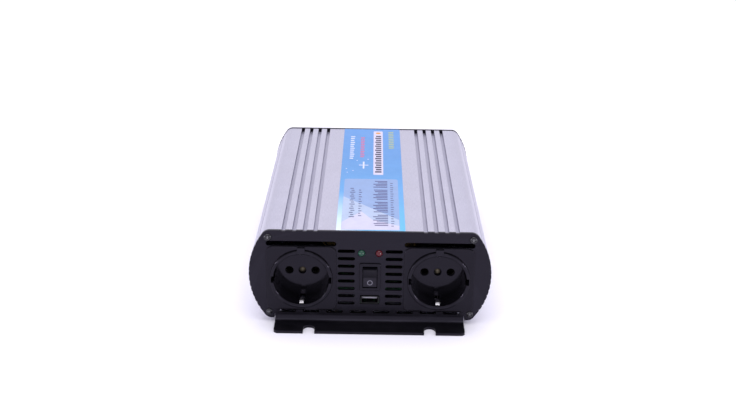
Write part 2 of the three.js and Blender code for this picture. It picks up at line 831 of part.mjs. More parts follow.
function electronics() {
  const group = new THREE.Group();
  const deck = boardZ + boardThickness;
  group.add(mesh("main_board", box(-boardHalf, boardHalf, -86, 88, boardZ, deck), circuitGreen));
  for (const [name, side] of [["left", -1], ["right", 1]]) {
    group.add(placed(mesh(name + "_transformer_core", transformerCore(), ferrite), side * transformerX, -14, deck));
    group.add(placed(mesh(name + "_transformer_coil", transformerCoil(), tape), side * transformerX, -14, deck));
    group.add(placed(mesh(name + "_heat_bar", box(-2.5, 2.5, -55, 55, 0, 28), aluminium), side * heatBarX, 0, deck));
    const clamped = mesh(name + "_transistors", transistorStrip(side), blackPlastic);
    group.add(placed(clamped, side * (heatBarX - 2.5), 0, deck));
    group.add(placed(mesh(name + "_capacitor", capacitor(), sleeveBlack), side * 16, 50, deck));
  }
  const inboard = 94;
  const redRoute = [
    [terminalX, inboard + 3.4, terminalZ],
    [terminalX, inboard - 3, terminalZ],
    [terminalX - 3, inboard - 12, 24],
    [terminalX - 3, inboard - 14, deck + 1],
  ];
  group.add(mesh("red_battery_lead", lead(redRoute, 2.6), redPlastic));
  const blackRoute = redRoute.map(([x, y, z]) => [-x, y, z]);
  group.add(mesh("black_battery_lead", lead(blackRoute, 2.6), blackPlastic));
  const tail = -caseLength / 2 + recessDepth - collarProud + 14.2;
  const liveRoute = [
    [-socketX - pinPitch / 2, tail, socketZ],
    [-socketX - pinPitch / 2, tail + 5, socketZ - 1],
    [-socketX, tail + 10, 24],
    [-socketX, tail + 11, deck + 0.6],
  ];
  group.add(mesh("live_lead", lead(liveRoute, 1.3), redPlastic));
  const neutralRoute = liveRoute.map(([x, y, z]) => [-x, y, z]);
  group.add(mesh("neutral_lead", lead(neutralRoute, 1.3), blackPlastic));
  return group;
}

const inverter = new THREE.Group();
inverter.add(mesh("top_shell", topShell(), shellSilver));
inverter.add(mesh("base_plate", basePlate(), shellSilver));
const labelTop = caseHeight - shellInset;
inverter.add(mesh("label", box(-24.5, 24.5, -innerFace, innerFace, labelTop, labelTop + 0.2), paper));
inverter.add(frontEnd());
inverter.add(rearEnd());
inverter.add(electronics());

export default inverter;
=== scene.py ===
import json
import math

import bmesh
import bpy
from mathutils import Matrix, Vector


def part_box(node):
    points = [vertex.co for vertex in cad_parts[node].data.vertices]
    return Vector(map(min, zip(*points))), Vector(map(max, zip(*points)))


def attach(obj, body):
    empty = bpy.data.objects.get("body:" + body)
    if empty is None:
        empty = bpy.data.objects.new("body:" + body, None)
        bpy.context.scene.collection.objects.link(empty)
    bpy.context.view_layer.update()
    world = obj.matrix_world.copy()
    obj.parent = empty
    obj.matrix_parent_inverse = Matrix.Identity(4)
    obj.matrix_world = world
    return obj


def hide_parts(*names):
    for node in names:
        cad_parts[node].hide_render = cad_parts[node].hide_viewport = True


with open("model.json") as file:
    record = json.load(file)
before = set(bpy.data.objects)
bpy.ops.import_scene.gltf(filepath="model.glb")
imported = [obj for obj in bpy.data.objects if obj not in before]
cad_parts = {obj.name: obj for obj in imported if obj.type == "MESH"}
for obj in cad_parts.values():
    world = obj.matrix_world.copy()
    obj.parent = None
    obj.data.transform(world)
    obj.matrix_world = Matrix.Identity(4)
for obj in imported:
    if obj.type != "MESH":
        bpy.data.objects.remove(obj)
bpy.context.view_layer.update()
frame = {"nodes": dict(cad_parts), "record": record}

# Power inverter: silver extruded case, black end panels, two mains sockets in front, fan and battery
# terminals behind. Every size in the dictionaries is in millimetres; a piece is built in millimetres in
# its own frame, with its outer face at y = 0 looking to -Y, and put in place at the end.
mm = 0.001
panelSheet = 2  # thickness of the two end panels
scene = bpy.context.scene
nodes = frame["nodes"]
bodies = frame["record"]["behaviour"]["bodies"]
nodeBody = {node: body for body, members in bodies.items() for node in members}
frontFace = (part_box("front_panel")[1].y - panelSheet * mm) / mm  # outer faces of the two end panels
rearFace = (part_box("rear_panel")[0].y + panelSheet * mm) / mm
print("frame loaded:", len(nodes), "nodes, end panels at y", round(frontFace, 2), round(rearFace, 2))


# shape tools

def solidFrom(corners, faces):
    mesh = bpy.data.meshes.new("solid")
    mesh.from_pydata(corners, [], faces)
    tidy = bmesh.new()
    tidy.from_mesh(mesh)
    bmesh.ops.remove_doubles(tidy, verts=tidy.verts, dist=1e-5)
    bmesh.ops.recalc_face_normals(tidy, faces=tidy.faces)
    tidy.to_mesh(mesh)
    tidy.free()
    obj = bpy.data.objects.new("solid", mesh)
    scene.collection.objects.link(obj)
    return obj


def prism(outline, axis, low, high):  # the outline runs in the two other axes, in X, Y, Z order
    count = len(outline)
    corner = {
        "X": lambda u, v, w: (w, u, v),
        "Y": lambda u, v, w: (u, w, v),
        "Z": lambda u, v, w: (u, v, w),
    }[axis]
    corners = [corner(u, v, low) for u, v in outline] + [corner(u, v, high) for u, v in outline]
    faces = [tuple(reversed(range(count))), tuple(range(count, 2 * count))]
    faces += [(i, (i + 1) % count, (i + 1) % count + count, i + count) for i in range(count)]
    return solidFrom(corners, faces)


def block(x0, x1, y0, y1, z0, z1):
    return prism([(x0, y0), (x1, y0), (x1, y1), (x0, y1)], "Z", z0, z1)


def circle(radius, u=0.0, v=0.0, steps=64):
    angles = [2 * math.pi * i / steps for i in range(steps)]
    return [(u + radius * math.cos(a), v + radius * math.sin(a)) for a in angles]


def rod(radius, x, z, y0, y1, steps=64):
    return prism(circle(radius, x, z, steps), "Y", y0, y1)


def roundedBox(width, height, radius, u=0.0, v=0.0, steps=8):
    points = []
    for turn, (su, sv) in enumerate([(1, 1), (-1, 1), (-1, -1), (1, -1)]):
        for i in range(steps + 1):
            a = math.pi / 2 * (turn + i / steps)
            cu, cv = su * (width / 2 - radius), sv * (height / 2 - radius)
            points.append((u + cu + radius * math.cos(a), v + cv + radius * math.sin(a)))
    return points


def turned(profile, steps=64):  # a profile of (radius, y) turned about Y; the same point twice closes it
    closed = profile[0] == profile[-1]
    rows = profile[:-1] if closed else profile
    corners, rings = [], []
    for radius, y in rows:
        count = 1 if radius == 0 else steps
        rings.append([len(corners) + i for i in range(count)])
        for i in range(count):
            a = 2 * math.pi * i / steps
            corners.append((radius * math.cos(a), y, radius * math.sin(a)))
    faces = []
    for here, there in zip(rings, rings[1:] + (rings[:1] if closed else [])):
        for i in range(steps):
            j = (i + 1) % steps
            quad = [here[i % len(here)], here[j % len(here)], there[j % len(there)], there[i % len(there)]]
            face = tuple(dict.fromkeys(quad))
            if len(face) > 2:
                faces.append(face)
    return solidFrom(corners, faces)


def moved(obj, x=0.0, y=0.0, z=0.0, angle=0.0, axis="X"):
    obj.data.transform(Matrix.Translation((x, y, z)) @ Matrix.Rotation(math.radians(angle), 4, axis))
    return obj


def discard(obj):
    mesh = obj.data
    bpy.data.objects.remove(obj)
    bpy.data.meshes.remove(mesh)


def gathered(*objs):  # several solids in one mesh, left as they are
    whole = bmesh.new()
    for obj in objs:
        whole.from_mesh(obj.data)
    whole.to_mesh(objs[0].data)
    whole.free()
    for obj in objs[1:]:
        discard(obj)
    return objs[0]


def applied(obj):
    done = bpy.data.meshes.new_from_object(obj.evaluated_get(bpy.context.evaluated_depsgraph_get()))
    obj.modifiers.clear()
    old, obj.data = obj.data, done
    bpy.data.meshes.remove(old)
    return obj


def combined(body, operation, *tools):
    for tool in tools:
        change = body.modifiers.new("change", "BOOLEAN")
        change.operation = operation
        change.solver = "EXACT"
        change.object = tool
    applied(body)
    for tool in tools:
        discard(tool)
    return body


def cut(body, *tools):
    return combined(body, "DIFFERENCE", *tools)


def join(body, *others):
    return combined(body, "UNION", *others)


def ridgesMarked(obj, angle):  # sharp edges that stand out; inner corners stay sharp
    shape = bmesh.new()
    shape.from_mesh(obj.data)
    weight = shape.edges.layers.float.new("bevel_weight_edge")
    for edge in shape.edges:
        edge[weight] = float(edge.is_convex and edge.calc_face_angle(0) > math.radians(angle))
    shape.to_mesh(obj.data)
    shape.free()


def softened(obj, width, segments=2, angle=38, ridges=False):  # a small radius on every sharp edge
    if ridges:
        ridgesMarked(obj, angle)
    edge = obj.modifiers.new("edge", "BEVEL")
    edge.width = width
    edge.segments = segments
    edge.limit_method = "WEIGHT" if ridges else "ANGLE"
    edge.angle_limit = math.radians(angle)
    edge.miter_outer = "MITER_ARC"
    return applied(obj)


def smoothed(obj, angle=32):  # round faces shade as round, and flat ones stay flat
    obj.data.shade_smooth()
    obj.data.set_sharp_from_angle(angle=math.radians(angle))
    flat = obj.modifiers.new("flat", "WEIGHTED_NORMAL")
    flat.keep_sharp = True
    flat.weight = 60
    return obj


atFront = Matrix.Translation((0, frontFace, 0))
atRear = Matrix.Translation((0, rearFace, 0)) @ Matrix.Rotation(math.pi, 4, "Z")
upright = Matrix.Identity(4)


def piece(obj, name, standsFor, place, material, rides=None):
    smoothed(obj)
    obj.data.transform(Matrix.Scale(mm, 4) @ place)
    obj.name = obj.data.name = name
    obj.data.materials.clear()
    obj.data.materials.append(material)
    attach(obj, rides or nodeBody[standsFor[0]])
    if standsFor:
        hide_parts(*standsFor)
    return obj


# finishes

def shaderNode(tree, kind, values=None, **settings):
    made = tree.nodes.new("ShaderNode" + kind)
    for key, value in settings.items():
        setattr(made, key, value)
    for key, value in (values or {}).items():
        if isinstance(value, bpy.types.NodeSocket):
            tree.links.new(value, made.inputs[key])
        else:
            made.inputs[key].default_value = value
    return made


def rgba(colour):
    return (*colour, 1.0)


wear = {"grainShare": 0.4, "tones": (0.36, 0.64), "rough": (0.3, 0.7), "edges": (0.52, 0.6)}


def finish(name, look):
    # tones: two colours mixed by the patches and the grain; rough: its two ends; patch, grain: sizes;
    # depth: height of the grain; along: how many times longer the grain is in Y; worn: colour of edges
    material = bpy.data.materials.new(name)
    material.use_nodes = True
    tree = material.node_tree
    shader = tree.nodes["Principled BSDF"]
    plain = where = shaderNode(tree, "TexCoord").outputs["Object"]
    along = look.get("along", 1.0)
    if along != 1.0:
        where = shaderNode(tree, "Mapping", {"Vector": where, "Scale": (1, 1 / along, 1)}).outputs["Vector"]

    def noise(size, detail, vector):
        values = {"Vector": vector, "Scale": 1 / (size * mm), "Detail": detail, "Roughness": 0.55}
        return shaderNode(tree, "TexNoise", values).outputs["Fac"]

    def spread(value, ends, low=0.0, high=1.0):
        values = {"Value": value, "From Min": ends[0], "From Max": ends[1], "To Min": low, "To Max": high}
        return shaderNode(tree, "MapRange", values).outputs["Result"]

    patches, grain = noise(look["patch"], 3.0, plain), noise(look["grain"], 2.0, where)
    both = shaderNode(tree, "Mix", {"Factor": wear["grainShare"], "A": patches, "B": grain})
    share = spread(both.outputs["Result"], wear["tones"])
    tone = shaderNode(tree, "Mix", {"Factor": share}, data_type="RGBA")
    for end, colour in zip("AB", look["tones"]):
        tone.inputs[end].default_value = rgba(colour)
    colour = tone.outputs["Result"]
    roughness = spread(patches, wear["rough"], *look["rough"])
    if "worn" in look:
        point = shaderNode(tree, "NewGeometry").outputs["Pointiness"]
        rubbed = {0: spread(point, wear["edges"]), 1: grain}
        amount = shaderNode(tree, "Math", rubbed, operation="MULTIPLY").outputs["Value"]
        edge = shaderNode(tree, "Mix", {"Factor": amount, "A": colour}, data_type="RGBA")
        edge.inputs["B"].default_value = rgba(look["worn"])
        colour = edge.outputs["Result"]
    tree.links.new(colour, shader.inputs["Base Color"])
    tree.links.new(roughness, shader.inputs["Roughness"])
    bump = {"Height": grain, "Distance": look["depth"] * mm, "Strength": 1.0}
    raised = shaderNode(tree, "Bump", bump).outputs["Normal"]
    tree.links.new(raised, shader.inputs["Normal"])
    shader.inputs["Metallic"].default_value = look.get("metal", 0.0)
    shader.inputs["Specular IOR Level"].default_value = look.get("gloss", 0.5)
    if "tint" in look:
        shader.inputs["Specular Tint"].default_value = rgba(look["tint"])
    if "coat" in look:
        shader.inputs["Coat Weight"].default_value = look["coat"]
        shader.inputs["Coat Roughness"].default_value = look.get("coatRough", 0.1)
    return material


looks = {
    "silver": {"tones": ((0.402, 0.395, 0.485), (0.438, 0.43, 0.525)), "rough": (0.36, 0.44), "metal": 0.75,
               "patch": 18, "grain": 0.35, "depth": 0.012, "along": 14, "worn": (0.6, 0.59, 0.68)},
    "panelBlack": {"tones": ((0.0012, 0.0011, 0.0016), (0.0026, 0.0024, 0.0034)), "rough": (0.3, 0.4),
                   "patch": 9, "grain": 0.4, "depth": 0.01, "gloss": 0.29, "tint": (0.8, 0.74, 1.0),
                   "worn": (0.007, 0.0066, 0.009)},
    "blackPlastic": {"tones": ((0.0012, 0.0011, 0.0016), (0.0024, 0.0022, 0.0032)), "rough": (0.08, 0.13),
                     "patch": 7, "grain": 0.25, "depth": 0.0015, "gloss": 0.25, "tint": (0.82, 0.76, 1.0),
                     "worn": (0.008, 0.0076, 0.01)},
    "darkPlastic": {"tones": ((0.0016, 0.0015, 0.0024), (0.003, 0.0028, 0.0044)), "rough": (0.3, 0.4),
                    "patch": 6, "grain": 0.3, "depth": 0.008, "gloss": 0.31, "tint": (0.84, 0.78, 1.0),
                    "worn": (0.014, 0.0135, 0.018)},
    # white plastic of the USB tongue with its tones lowered to grey: painted shade on the tongue set back in
    # the USB mouth
    "lightPlastic": {"tones": ((0.18, 0.175, 0.205), (0.22, 0.215, 0.25)), "rough": (0.4, 0.5),
                     "patch": 4, "grain": 0.3, "depth": 0.006},
    "blackSteel": {"tones": ((0.02, 0.02, 0.023), (0.05, 0.049, 0.055)), "rough": (0.18, 0.28), "metal": 0.9,
                   "patch": 2, "grain": 0.2, "depth": 0.006, "worn": (0.3, 0.3, 0.31)},
    "zincSteel": {"tones": ((0.5, 0.5, 0.53), (0.64, 0.64, 0.67)), "rough": (0.22, 0.36), "metal": 1.0,
                  "patch": 4, "grain": 0.2, "depth": 0.006, "worn": (0.75, 0.75, 0.77)},
    "springSteel": {"tones": ((0.5, 0.49, 0.5), (0.62, 0.61, 0.63)), "rough": (0.2, 0.34), "metal": 1.0,
                    "patch": 3, "grain": 0.15, "depth": 0.004, "along": 5, "worn": (0.72, 0.71, 0.72)},
    # USB shell steel kept dark: partly a dark nickel plating and partly painted shade inside the USB mouth
    "usbSteelAndShade": {"tones": ((0.03, 0.03, 0.032), (0.06, 0.058, 0.062)), "rough": (0.28, 0.4), "metal": 0.9,
                 "patch": 3, "grain": 0.15, "depth": 0.004, "along": 5, "worn": (0.07, 0.07, 0.072)},
    "brass": {"tones": ((0.5, 0.36, 0.14), (0.66, 0.5, 0.22)), "rough": (0.22, 0.38), "metal": 1.0,
              "patch": 2.5, "grain": 0.15, "depth": 0.005, "worn": (0.75, 0.62, 0.34)},
    "oldBrass": {"tones": ((0.035, 0.03, 0.022), (0.075, 0.062, 0.04)), "rough": (0.3, 0.45), "metal": 0.9,
                 "patch": 2.5, "grain": 0.15, "depth": 0.005, "worn": (0.2, 0.18, 0.13)},
    # contact brass with its tones painted nearly black: painted shade for the sleeves deep behind the pin
    # holes and the contacts inside the USB mouth
    "contactBrassPaintedShade": {"tones": ((0.006, 0.005, 0.003), (0.012, 0.01, 0.006)), "rough": (0.45, 0.6),
                     "metal": 0.6, "patch": 2.5, "grain": 0.15, "depth": 0.005, "worn": (0.03, 0.025, 0.015)},
    "redPlastic": {"tones": ((0.38, 0.012, 0.016), (0.5, 0.02, 0.024)), "rough": (0.28, 0.4),
                   "patch": 6, "grain": 0.25, "depth": 0.008, "worn": (0.6, 0.06, 0.06)},
    "ferrite": {"tones": ((0.012, 0.012, 0.013), (0.024, 0.024, 0.026)), "rough": (0.55, 0.75),
                "patch": 3, "grain": 0.2, "depth": 0.02, "worn": (0.06, 0.06, 0.06)},
    "tape": {"tones": ((0.16, 0.095, 0.02), (0.24, 0.15, 0.035)), "rough": (0.3, 0.45),
             "patch": 6, "grain": 0.5, "depth": 0.02, "coat": 0.3},
    "heatAluminium": {"tones": ((0.5, 0.5, 0.52), (0.62, 0.62, 0.65)), "rough": (0.35, 0.5), "metal": 1.0,
                      "patch": 8, "grain": 0.3, "depth": 0.01, "along": 20, "worn": (0.75, 0.75, 0.77)},
    "capSleeve": {"tones": ((0.012, 0.014, 0.03), (0.02, 0.022, 0.045)), "rough": (0.25, 0.35),
                  "patch": 8, "grain": 0.4, "depth": 0.01, "coat": 0.3},
    "boardGreen": {"tones": ((0.012, 0.075, 0.03), (0.02, 0.11, 0.045)), "rough": (0.35, 0.5),
                   "patch": 5, "grain": 0.5, "depth": 0.012, "coat": 0.2},
    "redLead": {"tones": ((0.42, 0.015, 0.015), (0.55, 0.025, 0.025)), "rough": (0.35, 0.48),
                "patch": 5, "grain": 0.3, "depth": 0.01},
    "blackLead": {"tones": ((0.012, 0.012, 0.014), (0.022, 0.022, 0.025)), "rough": (0.4, 0.52),
                  "patch": 5, "grain": 0.3, "depth": 0.01},
    "greenLens": {"tones": ((0.005, 0.036, 0.022), (0.008, 0.056, 0.034)), "rough": (0.05, 0.09),
                  "patch": 1.5, "grain": 0.15, "depth": 0.0005, "gloss": 0.45},
    "redLens": {"tones": ((0.05, 0.001, 0.005), (0.085, 0.002, 0.008)), "rough": (0.05, 0.09),
                "patch": 1.5, "grain": 0.15, "depth": 0.0005, "gloss": 0.45},
}
mat = {name: finish(name, look) for name, look in looks.items()}


def ink(name, colour):  # printed areas
    tones = [tuple(c * share for c in colour) for share in (0.94, 1.06)]
    look = {"tones": tones, "rough": (0.3, 0.4), "patch": 9, "grain": 0.4, "depth": 0.003, "gloss": 0.2}
    return finish(name, look)


film = {
    "front": -113, "rear": 113,  # ends of the film
    "stops": [  # share of the way from the front, colour
        (0.0, (0.12, 0.44, 0.72)), (0.25, (0.12, 0.35, 0.66)), (0.5, (0.105, 0.275, 0.56)),
        (0.7, (0.1, 0.26, 0.55)), (1.0, (0.105, 0.265, 0.58)),
    ],
    "pale": (0.66, 0.76, 0.88), "paleFrom": -4, "paleTo": -20, "paleEnd": -40,  # the light corner, front left
}


def filmFinish():
    material = ink("labelFilm", (0.4, 0.5, 0.7))
    tree = material.node_tree
    shader = tree.nodes["Principled BSDF"]
    place = shaderNode(tree, "TexCoord").outputs["Object"]
    apart = shaderNode(tree, "SeparateXYZ", {"Vector": place}).outputs
    x, y = apart["X"], apart["Y"]
    ends = {"Value": y, "From Min": film["front"] * mm, "From Max": film["rear"] * mm}
    share = shaderNode(tree, "MapRange", ends).outputs["Result"]
    ramp = shaderNode(tree, "ValToRGB", {"Fac": share})
    for spot, colour in film["stops"][1:-1]:
        ramp.color_ramp.elements.new(spot).color = rgba(colour)
    ramp.color_ramp.elements[0].color = rgba(film["stops"][0][1])
    ramp.color_ramp.elements[-1].color = rgba(film["stops"][-1][1])
    patches = shaderNode(tree, "TexNoise", {"Vector": place, "Scale": 90.0, "Detail": 3.0}).outputs["Fac"]
    shade = shaderNode(tree, "MapRange", {"Value": patches, "To Min": 0.94, "To Max": 1.06}).outputs["Result"]
    left = {"Value": x, "From Min": film["paleFrom"] * mm, "From Max": film["paleTo"] * mm}
    near = {"Value": y, "From Min": film["paleEnd"] * mm, "From Max": film["front"] * mm}
    corner = {0: shaderNode(tree, "MapRange", left).outputs["Result"],
              1: shaderNode(tree, "MapRange", near).outputs["Result"]}
    amount = shaderNode(tree, "Math", corner, operation="MULTIPLY").outputs["Value"]
    faded = shaderNode(tree, "Mix", {"Factor": amount, "A": ramp.outputs["Color"]}, data_type="RGBA")
    faded.inputs["B"].default_value = rgba(film["pale"])
    tinted = shaderNode(tree, "VectorMath", {0: faded.outputs["Result"], 1: shade}, operation="MULTIPLY")
    tree.links.new(tinted.outputs["Vector"], shader.inputs["Base Color"])
    return material


mat["film"] = filmFinish()
print("finishes made:", len(mat))

# case

case = {
    "height": 72, "underside": 3, "sideRadius": 53, "sideCentre": (33.6, 38), "cornerRadius": 7,
    "footRadius": 6, "ribs": 14, "firstRib": -30, "ribPitch": 4.6, "ribWidth": 1.7, "ribDepth": 1.1,
    "topGrooves": (38.9, 46.4, 53.9, 61.4), "grooveWidth": 2.8, "grooveDepth": 3.0,
    "inset": 0.3, "wall": 2.3, "halfLength": 113,
    "rails": [(66, 4.2), (68.3, 4.2), (68.3, 6.4), (64, 6.4),  # one for the base plate, one for the board
              (64, 11.7), (66.9, 11.7), (66.9, 13.9), (64, 13.9)],
    "wallFrom": 15.6, "wallTo": 63.2,  # inside, between the rails and the thick part under the grooves
}
ribDip = [(-1.2, 0), (-0.85, 0.12), (-0.62, 0.85), (-0.4, 1), (0.4, 1), (0.62, 0.85), (0.85, 0.12), (1.2, 0)]
panelDip = [(-1, 0), (-0.7, 0.2), (-0.35, 0.8), (0, 1), (0.35, 0.8), (0.7, 0.2), (1, 0)]


def halfOutline(inset, dip, sideDepth, topDepth, soft):
    points = []
    radius = case["sideRadius"] - inset
    cx, cz = case["sideCentre"]

    def around(x, z, r, start, end, steps):
        for i in range(steps + 1):
            a = math.radians(start + (end - start) * i / steps)
            points.append((x + r * math.cos(a), z + r * math.sin(a)))

    footZ = case["underside"] + case["footRadius"]
    footX = cx + math.sqrt((case["sideRadius"] - case["footRadius"]) ** 2 - (cz - footZ) ** 2)
    topZ = case["height"] - case["cornerRadius"]
    topX = cx + math.sqrt((case["sideRadius"] - case["cornerRadius"]) ** 2 - (topZ - cz) ** 2)
    around(footX, footZ, case["footRadius"] - inset, -90, math.degrees(math.atan2(footZ - cz, footX - cx)), 9)
    halfRib = math.degrees(case["ribWidth"] / 2 / case["sideRadius"])
    for rib in range(case["ribs"]):
        middle = case["firstRib"] + rib * case["ribPitch"]
        for share, depth in dip:
            a = math.radians(middle + share * halfRib)
            r = radius - depth * sideDepth
            points.append((cx + r * math.cos(a), cz + r * math.sin(a)))
    around(topX, topZ, case["cornerRadius"] - inset, math.degrees(math.atan2(topZ - cz, topX - cx)), 90, 12)
    if topDepth:
        high, half = case["height"] - inset, case["grooveWidth"] / 2
        side = [(soft, 0), (soft * 0.3, -soft * 0.3), (0, -soft), (0, -topDepth + soft)]
        side += [(-soft * 0.3, -topDepth + soft * 0.3), (-soft, -topDepth)]
        for x in reversed(case["topGrooves"]):
            points += [(x + half + u, high + v) for u, v in side]
            points += [(x - half - u, high + v) for u, v in reversed(side)]
    return points


def mirrored(points):
    return [(-x, z) for x, z in reversed(points)]


def topShell():
    outer = halfOutline(case["inset"], ribDip, case["ribDepth"], case["grooveDepth"], 0.35)
    cx, cz = case["sideCentre"]
    low = case["underside"] + case["inset"]
    inner = [(66, low)] + case["rails"] + [(64, case["wallFrom"])]
    radius = case["sideRadius"] - case["inset"] - case["ribDepth"] - case["wall"]
    start, end = math.asin((case["wallFrom"] - cz) / radius), math.asin((case["wallTo"] - cz) / radius)
    for i in range(25):
        a = start + (end - start) * i / 24
        inner.append((cx + radius * math.cos(a), cz + radius * math.sin(a)))
    under = case["height"] - case["inset"] - case["grooveDepth"] - 1.8
    ceiling = case["height"] - case["inset"] - case["wall"]
    inner += [(70.2, case["wallTo"]), (69.2, 64.4), (69.2, under), (34.9, under), (33.9, ceiling)]
    outline = outer + mirrored(outer) + list(reversed(mirrored(inner))) + list(reversed(inner))
    shell = prism(outline, "Y", -case["halfLength"], case["halfLength"])
    piece(shell, "topShell", ["top_shell"], upright, mat["silver"])


topShell()
print("case made")

# end panels

panel = {
    "sheet": panelSheet, "scallop": 0.5, "frontNotch": 0.6, "edge": 0.1,
    "flangeHalf": 68.2, "flangeReach": 18, "corner": 3, "relief": 0.6, "bend": 4, "bendSteps": 12,
    "notchX": 43.2, "notchWidth": 8.3, "notchDepth": 9,
}
vents = {
    "x": 16.95, "length": 12.3, "height": 2.6, "top": 56.7, "pitch": 5.86, "count": 8,
    "footZ": 8.65, "footLength": 12, "footHeight": 2.3, "footPitch": 16.9,
    "longX": 49.05, "longZ": 62.1, "longLength": 50, "longHeight": 3.8,
}
cornerScrews = {"x": 72.6, "hole": 1.8, "lower": (8.0, 2.4), "upper": (66.7, 2.7)}  # height, head radius
socket = {
    "x": 49.05, "z": 34.9, "plate": 50, "corner": 5, "plateProud": 1, "collarRadius": 22.5, "collarProud": 3,
    "recessRadius": 19.7, "floor": 13.5, "back": 23, "cutout": 22.8, "shoulder": 0.8, "rim": (1.1, 0.9),
    "lug": (2.8, 20.3, 24.9), "notch": (2.5, 15, 21.6), "groove": (1.9, 19, 21.4),  # half width, from, to
    "pin": 9.5, "pinHole": 2.6, "sleeve": 3.2, "bore": 2.5, "seat": 2.9, "seatDepth": 2.4, "edge": 0.25,
}
strap = {  # the earth contact: its path is (depth, distance from the middle)
    "path": [(-1, 19.6), (2.2, 17.6), (5.4, 20.7)], "tail": 0.9, "turn": 1.6, "thick": 0.8, "half": 1.5,
}
fan = {
    "size": 60, "depth": 20, "z": 36.7, "bore": 28.4, "hole": 27.8, "hub": 15.5, "tip": 27.4, "blades": 7,
    "screw": 25, "screwHole": 2.1, "rings": (8, 14, 20, 26), "wire": 0.8, "eye": 3.6,
}
blade = {
    "front": 1.9, "length": 13.8, "camber": 1.6, "rootPitch": 50, "tipPitch": 36, "rootThick": 1.5,
    "tipThick": 0.9, "stations": 7, "chordSteps": 9,
}
terminal = {
    "x": 52, "z": 36.7, "hole": 7, "stud": 4, "proud": 3.5, "washer": 8, "knob": 9.6, "fluteDepth": 0.6,
    "flutes": 10, "thread": 1.25, "threads": 14,
}
lamp = {"x": 6.2, "z": 55.3, "radius": 2.5, "proud": 1.9, "hole": 2.7, "legs": 1.27, "legHalf": 0.25}
switch = {
    "z": 36.9, "width": 15, "height": 21.2, "proud": 1.2, "openWidth": 10.6, "openHeight": 16.9,
    "bodyWidth": 12.6, "bodyHeight": 18.6, "bodyDepth": 15, "hole": (13.2, 19.2), "tabs": (-5.5, 0, 5.5),
}
usb = {"z": 18.6, "width": 12.8, "height": 5.6, "depth": 13.5, "steel": 0.4, "hole": (14, 7.3)}


def panelBody(topDepth):
    sheet, half = panel["sheet"], panel["flangeHalf"]
    side = halfOutline(0, panelDip, panel["scallop"], topDepth, 0.2)
    face = prism(side + mirrored(side), "Y", 0, sheet)
    inner, reach = panel["bend"], panel["flangeReach"]
    outer = inner + sheet
    free = half + panel["relief"]
    cut(face, block(-free, free, -1, sheet + 1, 0, outer))
    steps = panel["bendSteps"]
    turns = [math.radians(-90 * i / steps) for i in range(steps + 1)]
    bend = [(0, outer + 1)]
    bend += [(-inner + inner * math.cos(a), outer + inner * math.sin(a)) for a in turns]
    bend += [(-reach, sheet), (-reach, 0)]
    bend += [(-inner + outer * math.cos(a), outer + outer * math.sin(a)) for a in reversed(turns)]
    bend += [(sheet, outer + 1)]
    flange = prism(bend, "X", -half, half)
    depth = reach + 20  # the rounded outline runs on behind the panel
    outline = roundedBox(half * 2, depth, panel["corner"], 0, -reach + depth / 2)
    combined(flange, "INTERSECT", prism(outline, "Z", -1, 9))
    width, long = panel["notchWidth"], 2 * panel["notchDepth"] + 4
    notches = []
    for side in (-1, 1):
        outline = roundedBox(width, long, width / 2 - 0.01, side * panel["notchX"], -reach - 2, 16)
        notches.append(prism(outline, "Z", -1, 3))
    cut(flange, gathered(*notches))
    join(face, flange)
    holes = [rod(cornerScrews["hole"], side * cornerScrews["x"], cornerScrews[level][0], -1, 3, 24)
             for side in (-1, 1) for level in ("lower", "upper")]
    return face, holes


def slotTool(x, z, length, height):
    return prism(roundedBox(length, height, height / 2 - 0.01, x, z, 10), "Y", -1, 3)


def frontPanel():
    body, holes = panelBody(panel["frontNotch"])
    for side in (-1, 1):
        holes.append(rod(socket["cutout"], side * socket["x"], socket["z"], -1, 3, 128))
        x = side * vents["longX"]
        holes.append(slotTool(x, vents["longZ"], vents["longLength"], vents["longHeight"]))
        for row in range(vents["count"]):
            z = vents["top"] - row * vents["pitch"]
            holes.append(slotTool(side * vents["x"], z, vents["length"], vents["height"]))
        for column in range(4):
            x = side * vents["footPitch"] * (column + 0.5)
            holes.append(slotTool(x, vents["footZ"], vents["footLength"], vents["footHeight"]))
        holes.append(rod(lamp["hole"], side * lamp["x"], lamp["z"], -1, 3, 40))
    holes.append(prism(roundedBox(*switch["hole"], 0.5, 0, switch["z"]), "Y", -1, 3))
    holes.append(prism(roundedBox(*usb["hole"], 1, 0, usb["z"]), "Y", -1, 3))
    cut(body, gathered(*holes))
    softened(body, panel["edge"])
    piece(body, "frontPanel", ["front_panel"], atFront, mat["panelBlack"])


def rearPanel():
    body, holes = panelBody(0)
    holes.append(rod(fan["hole"], 0, fan["z"], -1, 3, 128))
    for side in (-1, 1):
        holes.append(rod(terminal["hole"], side * terminal["x"], terminal["z"], -1, 3, 48))
        for level in (-1, 1):
            x, z = side * fan["screw"], fan["z"] + level * fan["screw"]
            holes.append(rod(fan["screwHole"], x, z, -1, 3, 24))
    cut(body, gathered(*holes))
    softened(body, panel["edge"])
    piece(body, "rearPanel", ["rear_panel"], atRear, mat["panelBlack"])


frontPanel()
rearPanel()
print("end panels made")


def screwBody(length, headRadius, shankRadius=1.5):  # pan head with a cross recess
    high = headRadius * 0.6
    dome = [(headRadius * math.sin(a), -high * (0.35 + 0.65 * math.cos(a)))
            for a in [math.radians(75 * i / 6) for i in range(1, 7)]]
    profile = [(0, -high)] + dome + [(headRadius, -high * 0.4), (headRadius, -0.15), (headRadius - 0.15, 0)]
    profile += [(shankRadius, 0), (shankRadius, length - 0.6), (shankRadius - 0.5, length), (0, length)]
    body = turned(profile, 40)
    arm, width, floor = headRadius * 0.55, headRadius * 0.14, -high * 0.35
    barX = block(-arm, arm, -high - 1, floor, -width, width)
    barZ = block(-width, width, -high - 1, floor, -arm, arm)
    cut(body, barX, barZ)
    return softened(body, 0.06, 1)


